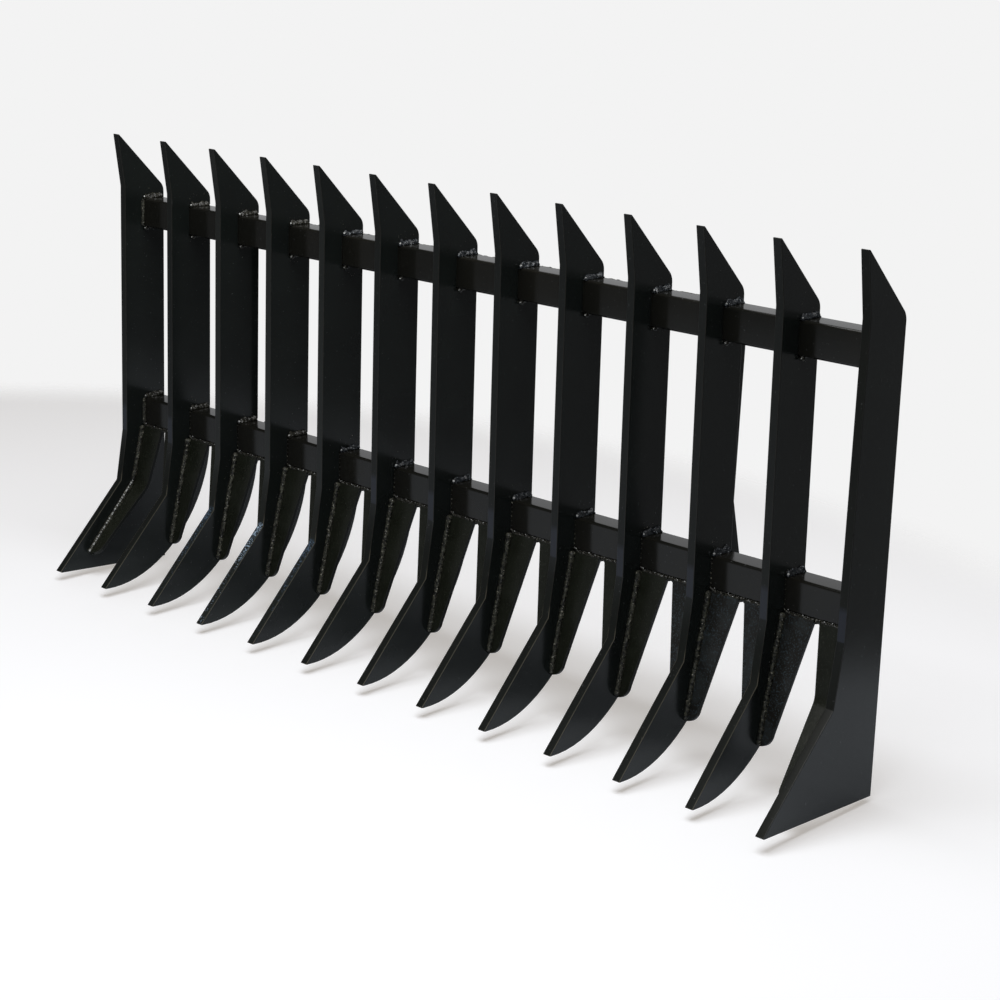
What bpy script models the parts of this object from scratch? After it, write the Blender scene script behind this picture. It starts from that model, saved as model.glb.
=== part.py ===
"""Root and stick rake for a skid steer: a welded grid of upright tine plates on two cross tubes.

Metres, +X to the rake's right-hand end, +Y to the loader, +Z up. The frame's origin is the bottom
centre of the bounding box.
"""
import bpy
import bmesh
import math

# ---- driving dimensions -------------------------------------------------------------------------
TINE_COUNT = 13            # upright plates, the two end plates included
TINE_PITCH = 0.1524        # centre to centre along X
TINE_THICK = 0.016         # plate thickness along X
TINE_DEPTH = 0.1016        # front edge to rear edge between the tubes

# side outline of a tine, in a working frame with Y=0 on the front edge and Z=0 at the top point
TIP_LEAN = 0.0177          # the top point stands this far ahead of the front edge
TIP_FLAT = 0.0035          # width of the flat left on the top point
LEAN_DROP = 0.110          # height over which the top point leans forward
SHOULDER_R = 0.026         # rounding of the rear shoulder
KNEE_Z = 0.632             # depth of the upper knee below the top point
SHIN_DROP = 0.107          # height from the upper to the lower knee
SHIN_LEAN = 0.0165         # the lower knee stands this far forward
TOE_Z = 0.909              # depth of the bottom point below the top point
TOE_REACH = 0.176          # reach of the bottom point ahead of the front edge
TOE_FLAT = 0.004           # flat left on the bottom point
TOE_FLAT_DROP = 0.0012     # how much the flat falls towards the rear on an inner tine
HEEL_TOP_DROP = 0.004      # the heel curve ends this far below the lower tube
HEEL_CURVE_STEPS = 22      # straight steps in the curved heel of an inner tine
HEEL_FLAT_PULL = 0.150     # how far the heel curve runs flat behind the toe
HEEL_SAG = 0.013           # how far the heel curve bellies below the toe
HEEL_UP_PULL = 0.150       # how far the heel curve runs upright under the lower tube

# end plates: straight bottom edge instead of the curved heel
END_BOTTOM_DROP = 0.021    # the rear bottom corner hangs this far below the toe
END_TOE_FLAT_DROP = 0.0024  # how much the flat on the bottom point falls towards the rear
# the right-hand end plate is set leaning back and is a little deeper than the left-hand one
RIGHT_TOP_BACK = 0.0180    # top point further back
RIGHT_LEAN_BACK = 0.0162   # foot of the leaning top further back
RIGHT_REAR_BACK = 0.0165   # rear shoulder further back
RIGHT_HEEL_BACK = 0.003    # rear bottom corner further back
RIGHT_SHIN_FORWARD = 0.004  # lower knee further forward
RIGHT_TOE_FORWARD = 0.018  # toe further forward
RIGHT_TOE_LIFT = 0.006     # toe higher
RIGHT_HEEL_LIFT = 0.010    # rear bottom corner higher

# cross tubes
TUBE_HEIGHT = 0.060
TUBE_DEEP = 0.050
TUBE_WALL = 0.005
TUBE_CORNER_R = 0.005
TUBE_INNER_R = 0.0025
TUBE_CORNER_STEPS = 3
TUBE_FRONT = 0.0468        # front face behind the tines' front edge
TUBE_TOP_Z = 0.1680        # centre line of the upper tube below the top point
TUBE_LOW_Z = 0.5960        # centre line of the lower tube below the top point

# gusset plates under the lower tube
GUSSET_THICK = 0.008
GUSSET_PROUD = 0.004       # front face ahead of the tube's front face
GUSSET_GAP = 0.0125        # gap between neighbouring gussets at the top
GUSSET_END_W = 0.024       # width where the round end starts
GUSSET_END_R = 0.024       # length of the round end
GUSSET_END_STEPS = 8       # straight steps in the round end
GUSSET_END_SWEEP = math.radians(80.0)  # how far round its quarter circle the end goes
GUSSET_LEAN = 0.0490       # an inner gusset runs forward this far ...
GUSSET_FALL = 0.2200       # ... while it drops this far
BEND_LEAN = 0.0262         # end gusset: upper leg forward
BEND_FALL = 0.1200         # end gusset: upper leg down
FOOT_LEAN = 0.1212         # end gusset: lower leg forward
FOOT_FALL = 0.1341         # end gusset: lower leg down
BEND_R = 0.040             # radius of the bend on the front face
BEND_STEPS = 8
BEND_W = 0.046             # width at the bend
FOOT_W = 0.031             # width where the end gusset's round end starts
END_TOP_EXTRA = 0.001      # an end gusset is this much wider at the top

# loader hitch behind the tubes
HITCH_INNER_W = 1.143      # clear width between the side plates
HITCH_SIDE_T = 0.00635
HITCH_TOP_Z = 0.1440       # top of the hitch below the top point
EAR_TOP_REACH = 0.0690     # side plate behind the tubes, near the top
EAR_WAIST_REACH = 0.0590   # side plate behind the tubes, at the waist
EAR_FOOT_REACH = 0.0960    # side plate behind the tubes, at the foot
EAR_RELIEF = 0.012         # the side plate's front edge steps back between the tubes
EAR_TOP_FLAT = 0.012       # level part of the top edge
EAR_TOP_FALL = 0.058       # the top edge slopes down this far ...
EAR_TOP_EDGE = 0.032       # ... to a short upright rear edge
EAR_WAIST_Z = 0.500
EAR_FOOT_Z = 0.6620
EAR_FOOT_CHAMFER = 0.006
EAR_FOOT_FLAT = 0.034      # the bottom edge starts this far behind the tubes ...
EAR_FOOT_RISE = 0.020      # ... and slopes up this far to meet them
LIP_TOP_DROP = 0.001       # the lip's front edge below the top of the side plates
LIP_RUN = 0.046            # the hook plate's rearward run
LIP_SLOPE = math.radians(45.0)
LIP_THICK = 0.010
SHELF_Z = 0.5900           # top front edge of the latch shelf below the top point
SHELF_RUN = 0.088          # the shelf's rearward run
SHELF_SLOPE = math.radians(29.0)
SHELF_THICK = 0.012
SLOT_SPREAD = 1.004        # centre to centre of the two latch slots
SLOT_LONG = 0.064          # slot length along X
SLOT_WIDE = 0.036          # slot width along the shelf's slope
SLOT_FROM_TUBE = 0.052     # slot centre from the front edge, along the slope
SLOT_END_STEPS = 8
CUTTER_REACH = 0.020       # the slots' cutter stands out of the shelf this far

FIT_GAP = 0.0003           # clearance left between pieces that are welded together

PAINT = (0.012, 0.013, 0.013)


# ---- values that follow from them ---------------------------------------------------------------
SPAN = TINE_PITCH * (TINE_COUNT - 1)
END_INNER_X = SPAN / 2 - TINE_THICK / 2
TUBE_REAR = TUBE_FRONT + TUBE_DEEP
GUSSET_TOP_W = TINE_PITCH / 2 - TINE_THICK / 2 - GUSSET_GAP / 2
UNDER_TUBE_Z = -TUBE_LOW_Z - TUBE_HEIGHT / 2
END_HEEL = (TINE_DEPTH, -TOE_Z - END_BOTTOM_DROP)
Y_FRONT = -TOE_REACH - RIGHT_TOE_FORWARD
Y_REAR = TUBE_REAR + FIT_GAP + EAR_FOOT_REACH
SHIFT_Y = -(Y_FRONT + Y_REAR) / 2
SHIFT_Z = -END_HEEL[1]


def clear_scene():
    """Remove whatever the file starts with."""
    for obj in list(bpy.data.objects):
        bpy.data.objects.remove(obj, do_unlink=True)


def painted(name):
    """A black-painted material of its own for one sub-part."""
    mat = bpy.data.materials.new(name)
    mat.use_nodes = True
    bsdf = mat.node_tree.nodes["Principled BSDF"]
    bsdf.inputs["Base Color"].default_value = (*PAINT, 1.0)
    bsdf.inputs["Roughness"].default_value = 0.38
    return mat


def add_object(name, verts, faces):
    """Make one named, closed mesh object moved into the part's frame."""
    mesh = bpy.data.meshes.new(name)
    moved = [(x, y + SHIFT_Y, z + SHIFT_Z) for x, y, z in verts]
    mesh.from_pydata(moved, [], faces)
    bm = bmesh.new()
    bm.from_mesh(mesh)
    bmesh.ops.recalc_face_normals(bm, faces=bm.faces)
    bm.to_mesh(mesh)
    bm.free()
    obj = bpy.data.objects.new(name, mesh)
    bpy.context.scene.collection.objects.link(obj)
    mesh.materials.append(painted("paint_" + name))
    return obj


def prism(name, outline, x0, x1):
    """Extrude a side outline of (y, z) points along X."""
    n = len(outline)
    verts = [(x0, y, z) for y, z in outline] + [(x1, y, z) for y, z in outline]
    sides = [(i, (i + 1) % n, n + (i + 1) % n, n + i) for i in range(n)]
    return add_object(name, verts, sides + [tuple(range(n)), tuple(range(n, 2 * n))])


def round_corner(before, corner, after, radius, steps=6):
    """Points of an arc that rounds one corner of an outline."""
    def unit(a, b):
        d = math.hypot(b[0] - a[0], b[1] - a[1])
        return ((b[0] - a[0]) / d, (b[1] - a[1]) / d)
    u, v = unit(corner, before), unit(corner, after)
    half = math.acos(max(-1.0, min(1.0, u[0] * v[0] + u[1] * v[1]))) / 2
    reach = radius / math.tan(half)
    mid = unit((0, 0), (u[0] + v[0], u[1] + v[1]))
    centre = (corner[0] + mid[0] * radius / math.sin(half), corner[1] + mid[1] * radius / math.sin(half))
    start = (corner[0] + u[0] * reach, corner[1] + u[1] * reach)
    end = (corner[0] + v[0] * reach, corner[1] + v[1] * reach)
    a0 = math.atan2(start[1] - centre[1], start[0] - centre[0])
    a1 = math.atan2(end[1] - centre[1], end[0] - centre[0])
    turn = (a1 - a0 + math.pi) % (2 * math.pi) - math.pi
    angles = [a0 + turn * i / steps for i in range(steps + 1)]
    return [(centre[0] + radius * math.cos(a), centre[1] + radius * math.sin(a)) for a in angles]


def bezier(p0, p1, p2, p3, steps):
    """Points along a cubic curve, first end left out and last end kept."""
    points = []
    for i in range(1, steps + 1):
        t = i / steps
        w = ((1 - t) ** 3, 3 * t * (1 - t) ** 2, 3 * t * t * (1 - t), t ** 3)
        points.append(tuple(sum(k * p[j] for k, p in zip(w, (p0, p1, p2, p3))) for j in (0, 1)))
    return points


def front_edge(top_back=0.0, lean_back=0.0, shin_forward=0.0, toe_forward=0.0, toe_lift=0.0):
    """The front edge from the top point down to the toe."""
    return [
        (-TIP_LEAN + top_back, 0.0),
        (lean_back, -LEAN_DROP),
        (0.0, -KNEE_Z),
        (-SHIN_LEAN - shin_forward, -KNEE_Z - SHIN_DROP),
        (-TOE_REACH - toe_forward, -TOE_Z + toe_lift),
    ]


def shoulder(rear_y, tip_y):
    """The rounded rear shoulder and the sloping top edge, going up to the top point."""
    top = (tip_y, 0.0)
    corner = (rear_y, -(rear_y - tip_y))
    below = (rear_y, corner[1] - 2 * SHOULDER_R)
    return round_corner(below, corner, top, SHOULDER_R) + [top]


def notch(centre_z):
    """Rear-open notch that lets a tube pass through a tine, bottom to top."""
    half = TUBE_HEIGHT / 2 + FIT_GAP
    y = TUBE_FRONT - FIT_GAP
    z = -centre_z
    return [(TINE_DEPTH, z - half), (y, z - half), (y, z + half), (TINE_DEPTH, z + half)]


def inner_outline():
    """Side outline of an inner tine."""
    toe = (-TOE_REACH, -TOE_Z)
    toe_back = (toe[0] + TOE_FLAT, toe[1] - TOE_FLAT_DROP)
    top_of_heel = (TINE_DEPTH, UNDER_TUBE_Z - HEEL_TOP_DROP)
    heel = bezier(toe_back, (toe[0] + HEEL_FLAT_PULL, toe[1] - HEEL_SAG),
                  (TINE_DEPTH, top_of_heel[1] - HEEL_UP_PULL), top_of_heel, HEEL_CURVE_STEPS)
    points = front_edge() + [toe_back] + heel
    points += notch(TUBE_LOW_Z) + notch(TUBE_TOP_Z)
    return points + shoulder(TINE_DEPTH, -TIP_LEAN + TIP_FLAT)


def end_outline(right):
    """Side outline of an end plate; the right-hand one leans back a little."""
    if right:
        edge = front_edge(RIGHT_TOP_BACK, RIGHT_LEAN_BACK, RIGHT_SHIN_FORWARD, RIGHT_TOE_FORWARD, RIGHT_TOE_LIFT)
        heel = (END_HEEL[0] + RIGHT_HEEL_BACK, END_HEEL[1] + RIGHT_HEEL_LIFT)
        rear = shoulder(TINE_DEPTH + RIGHT_REAR_BACK, edge[0][0] + TIP_FLAT)
    else:
        edge = front_edge()
        heel = END_HEEL
        rear = shoulder(TINE_DEPTH, edge[0][0] + TIP_FLAT)
    toe_back = (edge[-1][0] + TOE_FLAT, edge[-1][1] - END_TOE_FLAT_DROP)
    return edge + [toe_back, heel] + rear


def rounded_rect(y0, y1, z0, z1, radius):
    """Corner-rounded rectangle as an outline."""
    corners = [(y0, z0), (y1, z0), (y1, z1), (y0, z1)]
    points = []
    for i, corner in enumerate(corners):
        points += round_corner(corners[i - 1], corner, corners[(i + 1) % 4], radius, TUBE_CORNER_STEPS)
    return points


def cross_tube(name, centre_z):
    """Hollow rectangular tube between the end plates, open at both ends."""
    x = END_INNER_X - FIT_GAP
    z0, z1 = -centre_z - TUBE_HEIGHT / 2, -centre_z + TUBE_HEIGHT / 2
    outer = rounded_rect(TUBE_FRONT, TUBE_REAR, z0, z1, TUBE_CORNER_R)
    inner = rounded_rect(TUBE_FRONT + TUBE_WALL, TUBE_REAR - TUBE_WALL, z0 + TUBE_WALL, z1 - TUBE_WALL,
                         TUBE_INNER_R)
    n = len(outer)
    verts = [(sx, y, z) for sx in (-x, x) for ring in (outer, inner) for y, z in ring]
    faces = []
    for i in range(n):
        j = (i + 1) % n
        faces.append((i, j, 2 * n + j, 2 * n + i))
        faces.append((n + i, 3 * n + i, 3 * n + j, n + j))
        faces.append((i, n + i, n + j, j))
        faces.append((2 * n + i, 2 * n + j, 3 * n + j, 3 * n + i))
    return add_object(name, verts, faces)


def gusset_path(bent):
    """Front face of a gusset seen from the side, as (y, z) points from the tube down."""
    top = (TUBE_FRONT - GUSSET_PROUD, UNDER_TUBE_Z - FIT_GAP)
    if not bent:
        return [top, (top[0] - GUSSET_LEAN, top[1] - GUSSET_FALL)]
    knee = (top[0] - BEND_LEAN, top[1] - BEND_FALL)
    foot = (knee[0] - FOOT_LEAN, knee[1] - FOOT_FALL)
    return [top] + round_corner(top, knee, foot, BEND_R, BEND_STEPS) + [foot]


def mitre(before, at, after):
    """Unit normal of a path at one of its points, pointing to its rear side, and its stretch there."""
    def normal(a, b):
        d = math.dist(a, b)
        return ((a[1] - b[1]) / d, (b[0] - a[0]) / d)
    u = normal(before, at) if before != at else normal(at, after)
    v = normal(at, after) if after != at else u
    stretch = 1 + u[0] * v[0] + u[1] * v[1]
    return ((u[0] + v[0]) / stretch, (u[1] + v[1]) / stretch)


def gusset(name, face_x, side, bent):
    """Lofted gusset plate: tapers along its path and ends in a rounded tip."""
    path = gusset_path(bent)
    last = path.pop()
    leg = math.dist(path[-1], last)
    down = ((last[0] - path[-1][0]) / leg, (last[1] - path[-1][1]) / leg)
    start = path[-1]
    rounds = [GUSSET_END_SWEEP * i / GUSSET_END_STEPS for i in range(GUSSET_END_STEPS + 1)]
    for a in rounds:
        s = leg - GUSSET_END_R + GUSSET_END_R * math.sin(a)
        path.append((start[0] + down[0] * s, start[1] + down[1] * s))
    run = [0.0]
    for a, b in zip(path, path[1:]):
        run.append(run[-1] + math.dist(a, b))
    straight = run[-len(rounds)]
    bend_at = math.hypot(BEND_LEAN, BEND_FALL)
    widths = [GUSSET_TOP_W, GUSSET_END_W]
    stops = [0.0, straight]
    if bent:
        widths = [GUSSET_TOP_W + END_TOP_EXTRA, BEND_W, FOOT_W]
        stops = [0.0, bend_at, straight]

    def width(s):
        for i in range(len(stops) - 1):
            if s <= stops[i + 1]:
                t = (s - stops[i]) / (stops[i + 1] - stops[i])
                return widths[i] + (widths[i + 1] - widths[i]) * t
        return widths[-1]

    verts = []
    for i, (y, z) in enumerate(path):
        ny, nz = mitre(path[max(0, i - 1)], path[i], path[min(len(path) - 1, i + 1)])
        w = width(run[i])
        if i >= len(path) - len(rounds):
            w *= math.cos(rounds[i - len(path) + len(rounds)])
        x0 = face_x + side * FIT_GAP
        x1 = x0 + side * w
        back = (y + ny * GUSSET_THICK, z + nz * GUSSET_THICK)
        verts += [(x0, y, z), (x1, y, z), (x1, *back), (x0, *back)]
    faces = []
    for i in range(len(path) - 1):
        a, b = 4 * i, 4 * (i + 1)
        faces += [(a + k, a + (k + 1) % 4, b + (k + 1) % 4, b + k) for k in range(4)]
    end = 4 * (len(path) - 1)
    faces += [(0, 1, 2, 3), (end, end + 1, end + 2, end + 3)]
    return add_object(name, verts, faces)


def hitch_side(name, side):
    """Side plate that keeps the loader's coupler centred."""
    y = TUBE_REAR + FIT_GAP
    upper, lower = -TUBE_TOP_Z - TUBE_HEIGHT / 2, -TUBE_LOW_Z + TUBE_HEIGHT / 2
    outline = [
        (y, -EAR_FOOT_Z + EAR_FOOT_RISE), (y, lower), (y + EAR_RELIEF, lower), (y + EAR_RELIEF, upper),
        (y, upper), (y, -HITCH_TOP_Z), (y + EAR_TOP_FLAT, -HITCH_TOP_Z),
        (y + EAR_TOP_REACH, -HITCH_TOP_Z - EAR_TOP_FALL),
        (y + EAR_TOP_REACH, -HITCH_TOP_Z - EAR_TOP_FALL - EAR_TOP_EDGE),
        (y + EAR_WAIST_REACH, -EAR_WAIST_Z), (y + EAR_FOOT_REACH, -EAR_FOOT_Z + EAR_FOOT_CHAMFER),
        (y + EAR_FOOT_REACH - EAR_FOOT_CHAMFER, -EAR_FOOT_Z), (y + EAR_FOOT_FLAT, -EAR_FOOT_Z),
    ]
    x0 = side * HITCH_INNER_W / 2
    return prism(name, outline, x0, x0 + side * HITCH_SIDE_T)


def sloping_strip(top_front, slope, run, thick):
    """Outline of a flat strip that falls away rearwards from its top front edge, cut upright there."""
    y, z = top_front
    far = (y + run, z - run * math.tan(slope))
    under = (far[0] - math.sin(slope) * thick, far[1] - math.cos(slope) * thick)
    return [(y, z), far, under, (y, z - thick / math.cos(slope))]


def hitch_lip(name):
    """Hook plate the loader's coupler tucks under."""
    x = HITCH_INNER_W / 2 - FIT_GAP
    front = (TUBE_REAR + FIT_GAP, -HITCH_TOP_Z - LIP_TOP_DROP)
    outline = sloping_strip(front, LIP_SLOPE, LIP_RUN, LIP_THICK)
    return prism(name, outline, -x, x)


def hitch_shelf(name):
    """Latch shelf with two slots for the coupler's wedge pins."""
    x = HITCH_INNER_W / 2 - FIT_GAP
    start = (TUBE_REAR + FIT_GAP, -SHELF_Z)
    shelf = prism(name, sloping_strip(start, SHELF_SLOPE, SHELF_RUN, SHELF_THICK), -x, x)
    c, s = math.cos(SHELF_SLOPE), math.sin(SHELF_SLOPE)
    mid = (start[0] + c * SLOT_FROM_TUBE, start[1] - s * SLOT_FROM_TUBE)
    for side in (-1, 1):
        cx = side * SLOT_SPREAD / 2
        half_w = SLOT_WIDE / 2
        loop = []
        for end in (1, -1):
            for i in range(SLOT_END_STEPS + 1):
                a = end * math.pi / 2 - math.pi * i / SLOT_END_STEPS
                loop.append((cx + end * (SLOT_LONG / 2 - half_w) + half_w * math.cos(a), half_w * math.sin(a)))
        verts = []
        for lift in (CUTTER_REACH, -SHELF_THICK - CUTTER_REACH):
            verts += [(u, mid[0] + c * v + s * lift, mid[1] - s * v + c * lift) for u, v in loop]
        n = len(loop)
        walls = [(i, (i + 1) % n, n + (i + 1) % n, n + i) for i in range(n)]
        cutter = add_object("slot_cutter", verts, walls + [tuple(range(n)), tuple(range(n, 2 * n))])
        cut = shelf.modifiers.new("slot", "BOOLEAN")
        cut.operation = "DIFFERENCE"
        cut.solver = "EXACT"
        cut.object = cutter
        bpy.context.view_layer.objects.active = shelf
        bpy.context.view_layer.update()
        bpy.ops.object.modifier_apply(modifier=cut.name)
        bpy.data.objects.remove(cutter, do_unlink=True)
    return shelf


def main():
    clear_scene()
    half = TINE_THICK / 2
    for k in range(TINE_COUNT):
        x = -SPAN / 2 + TINE_PITCH * k
        if k == 0:
            prism("end_plate_left", end_outline(False), x - half, x + half)
            gusset("end_gusset_left", x + half, 1, True)
        elif k == TINE_COUNT - 1:
            prism("end_plate_right", end_outline(True), x - half, x + half)
            gusset("end_gusset_right", x - half, -1, True)
        else:
            tag = "%02d" % (k + 1)
            prism("tine_" + tag, inner_outline(), x - half, x + half)
            gusset("gusset_" + tag + "_left", x - half, -1, False)
            gusset("gusset_" + tag + "_right", x + half, 1, False)
    cross_tube("upper_tube", TUBE_TOP_Z)
    cross_tube("lower_tube", TUBE_LOW_Z)
    hitch_side("hitch_side_left", -1)
    hitch_side("hitch_side_right", 1)
    hitch_lip("hitch_lip")
    hitch_shelf("hitch_shelf")


main()
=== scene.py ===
"""Root and stick rake for a skid steer: painted plate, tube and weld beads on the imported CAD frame.

Metres, +X to the rake's right-hand end, +Y to the loader, +Z up. Every plate and tube is a finer copy
of its CAD solid with broken edges, and the weld beads and spatter are modelled on top of them.
"""
import logging
import math
import random
from dataclasses import dataclass, field
from enum import Enum, IntEnum

import bmesh
import bpy
from mathutils import Euler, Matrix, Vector, noise


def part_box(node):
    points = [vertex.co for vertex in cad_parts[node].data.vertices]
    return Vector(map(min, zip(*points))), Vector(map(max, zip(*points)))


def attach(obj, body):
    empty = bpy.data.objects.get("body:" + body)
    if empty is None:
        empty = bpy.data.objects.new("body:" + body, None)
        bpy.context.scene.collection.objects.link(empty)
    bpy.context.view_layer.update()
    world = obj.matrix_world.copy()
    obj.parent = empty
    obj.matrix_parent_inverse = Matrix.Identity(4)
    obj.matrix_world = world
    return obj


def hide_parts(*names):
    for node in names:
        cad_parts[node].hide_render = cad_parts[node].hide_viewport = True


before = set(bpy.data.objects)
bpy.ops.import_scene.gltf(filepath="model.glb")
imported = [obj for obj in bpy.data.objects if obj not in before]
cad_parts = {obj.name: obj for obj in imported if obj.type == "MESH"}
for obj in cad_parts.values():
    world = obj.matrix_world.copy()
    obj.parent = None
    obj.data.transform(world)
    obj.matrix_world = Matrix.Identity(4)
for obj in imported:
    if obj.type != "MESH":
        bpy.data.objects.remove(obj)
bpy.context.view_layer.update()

log = logging.getLogger("rake")

Socket = bpy.types.NodeSocket
MM = 0.001
BODY = "root"
PAINT_IOR = 1.5
MIX_FIRST, MIX_SECOND, MIX_RESULT = 6, 7, 2      # the colour sockets of Blender's Mix node
FIRST_SEED = 10


# ---- colours and nodes --------------------------------------------------------------------------
def linear(hex_colour: str) -> tuple[float, float, float, float]:
    """Turn an sRGB hex colour into linear red, green, blue and alpha.

    Args:
        hex_colour: a colour such as "#1d2121".

    Returns:
        The four linear values.
    """
    parts = [int(hex_colour[i:i + 2], 16) / 255 for i in (1, 3, 5)]
    r, g, b = (c / 12.92 if c <= 0.04045 else ((c + 0.055) / 1.055) ** 2.4 for c in parts)
    return (r, g, b, 1.0)


def add_node(tree: bpy.types.NodeTree, kind: str, values: dict | None = None, links: dict | None = None,
             **settings: object) -> bpy.types.Node:
    """Add one shader node.

    Args:
        tree: the node tree that gets it.
        kind: the node's Blender type name.
        values: input name or index to the constant it holds.
        links: input name or index to the output socket that feeds it.
        settings: properties of the node itself.

    Returns:
        The new node.
    """
    node = tree.nodes.new(kind)
    for key, value in settings.items():
        setattr(node, key, value)
    for key, value in (values or {}).items():
        node.inputs[key].default_value = value
    for key, socket in (links or {}).items():
        tree.links.new(socket, node.inputs[key])
    return node


def lumps(size_mm: float, detail: float) -> dict[str, float]:
    """Give the settings of noise whose lumps are about size_mm across."""
    return {"Scale": 1 / (size_mm * MM), "Detail": detail, "Roughness": 0.55}


def ramp(low: float, high: float, to_low: float = 0.0, to_high: float = 1.0) -> dict[str, float]:
    """Give the settings that map low..high to to_low..to_high."""
    return {"From Min": low, "From Max": high, "To Min": to_low, "To Max": to_high}


# ---- finishes -----------------------------------------------------------------------------------
@dataclass(frozen=True)
class Enamel:
    """Semi-gloss black enamel sprayed over steel; the fields say what lies under and on the paint, and where
    glints and sheen are painted on it.
    """

    name: str
    paint: str                       # the paint's own colour
    haze: str                        # dry overspray and dust in it
    roughness: float = 0.19
    roughness_spread: float = 0.03   # glossier and duller patches
    specular: float = 0.34
    peel_mm: float = 7.0             # orange peel, drawn coarser than the real 2 mm so that it shows
    peel_depth_mm: float = 0.030
    haze_mm: float = 90.0            # size of the hazy patches
    haze_from: float = 0.25          # the noise level where haze starts ...
    haze_full: float = 0.75          # ... and where it covers the paint
    lines_mm: float = 0.0            # spacing of fine lines along X, from a torch or a drawing die
    lines_depth_mm: float = 0.0
    lines_squeeze: float = 0.04      # a line is as long as its spacing divided by this
    speck: str = "#4a4c4c"           # dust nibs; on the weld beads and the last tines' gussets, painted glints
    speck_mm: float = 4.0
    speck_from: float = 0.70         # higher is fewer specks
    speck_soft: float = 0.06
    speck_height_mm: float = 0.10
    chip: str = "#8f9aa3"            # bright steel where the paint is knocked off
    chip_mm: float = 5.0
    chip_from: float = 2.0           # above 1 leaves the paint whole
    chip_soft: float = 0.03
    chip_low: float = 0.0            # hardly any chips at this height, and most of them at the next
    chip_high: float = 9.0
    chip_thinning: float = 0.14      # how much rarer they are at the lower height
    chip_fade_mm: float = 6.0        # they stop this far above the upper one
    band: str = "#33363e"           # a lighter blue-grey band on the front edge, between two heights
    band_share: float = 0.0
    band_low: float = 0.298
    band_high: float = 0.358
    band_start_mm: float = 2.0      # the band starts this sharply ...
    band_fade_mm: float = 12.0      # ... and fades this softly
    band_before: float = 0.05       # only in front of this Y

    def build(self) -> bpy.types.Material:
        """Make the procedural material.

        Returns:
            The new material.
        """
        mat = bpy.data.materials.new(self.name)
        mat.use_nodes = True
        tree = mat.node_tree
        shader = tree.nodes["Principled BSDF"]
        shader.inputs["IOR"].default_value = PAINT_IOR
        shader.inputs["Metallic"].default_value = 0.0
        shader.inputs["Specular IOR Level"].default_value = self.specular
        place = add_node(tree, "ShaderNodeTexCoord").outputs["Object"]
        at = {"Vector": place}
        patches = add_node(tree, "ShaderNodeTexNoise", lumps(self.haze_mm, 1.0), at).outputs[0]
        grains = add_node(tree, "ShaderNodeTexNoise", lumps(self.speck_mm, 2.0), at).outputs[0]
        nibs_and_glints = ramp(self.speck_from, self.speck_from + self.speck_soft)
        specks = add_node(tree, "ShaderNodeMapRange", nibs_and_glints, {"Value": grains}).outputs[0]
        hazy = add_node(tree, "ShaderNodeMapRange", ramp(self.haze_from, self.haze_full), {"Value": patches})
        layers = [(hazy.outputs[0], self.haze), (specks, self.speck)]
        if self.band_share:
            layers.append((self._band_mask(tree, place), self.band))
        if self.chip_from < 1.0:
            layers.append((self._chips(tree, place), self.chip))
        under = {}
        for share, over in layers:
            colours = {MIX_FIRST: linear(self.paint), MIX_SECOND: linear(over)}
            mixed = add_node(tree, "ShaderNodeMix", colours, {0: share, **under}, data_type="RGBA")
            under = {MIX_FIRST: mixed.outputs[MIX_RESULT]}
        glossy, dull = self.roughness - self.roughness_spread, self.roughness + self.roughness_spread
        rough = add_node(tree, "ShaderNodeMapRange", ramp(0.20, 0.80, glossy, dull), {"Value": patches})
        tree.links.new(mixed.outputs[MIX_RESULT], shader.inputs["Base Color"])
        tree.links.new(rough.outputs[0], shader.inputs["Roughness"])
        tree.links.new(self._relief(tree, place, specks), shader.inputs["Normal"])
        return mat

    def _relief(self, tree: bpy.types.NodeTree, place: Socket, specks: Socket) -> Socket:
        """Stack orange peel, the raised specks (dust nibs, and painted glints on the beads) and, where there
        are any, the fine lines.

        Args:
            tree: the material's node tree.
            place: the point on the rake.
            specks: 1 on a speck, which on the beads is a painted glint, and 0 beside it.

        Returns:
            The bumped normal.
        """
        peel = add_node(tree, "ShaderNodeTexNoise", lumps(self.peel_mm, 2.0), {"Vector": place}).outputs[0]
        heights = [(peel, self.peel_depth_mm), (specks, self.speck_height_mm)]
        if self.lines_mm:
            scale = (self.lines_squeeze, 1.0, 1.0)
            drawn = add_node(tree, "ShaderNodeMapping", {"Scale": scale}, {"Vector": place}).outputs[0]
            lines = add_node(tree, "ShaderNodeTexNoise", lumps(self.lines_mm, 1.0), {"Vector": drawn})
            heights.append((lines.outputs[0], self.lines_depth_mm))
        under = {}
        for height, depth_mm in heights:
            bump = add_node(tree, "ShaderNodeBump", {"Strength": 1.0, "Distance": depth_mm * MM},
                            {"Height": height, **under})
            under = {"Normal": bump.outputs[0]}
        return bump.outputs[0]

    def _band_mask(self, tree: bpy.types.NodeTree, place: Socket) -> Socket:
        """Find how much of the band colour shows.

        Args:
            tree: the material's node tree.
            place: the point on the rake.

        Returns:
            A socket from 0 to the band's share.
        """
        axes = add_node(tree, "ShaderNodeSeparateXYZ", links={0: place}).outputs
        start, fade = self.band_start_mm * MM, self.band_fade_mm * MM
        limits = ((axes["Z"], ramp(self.band_low, self.band_low + start, 0.0, self.band_share)),
                  (axes["Z"], ramp(self.band_high - fade, self.band_high, 1.0, 0.0)),
                  (axes["Y"], ramp(self.band_before, self.band_before + start, 1.0, 0.0)))
        parts = [add_node(tree, "ShaderNodeMapRange", span, {"Value": axis}) for axis, span in limits]
        share, *others = [part.outputs[0] for part in parts]
        for other in others:
            both = {0: share, 1: other}
            share = add_node(tree, "ShaderNodeMath", links=both, operation="MULTIPLY").outputs[0]
        return share

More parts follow.
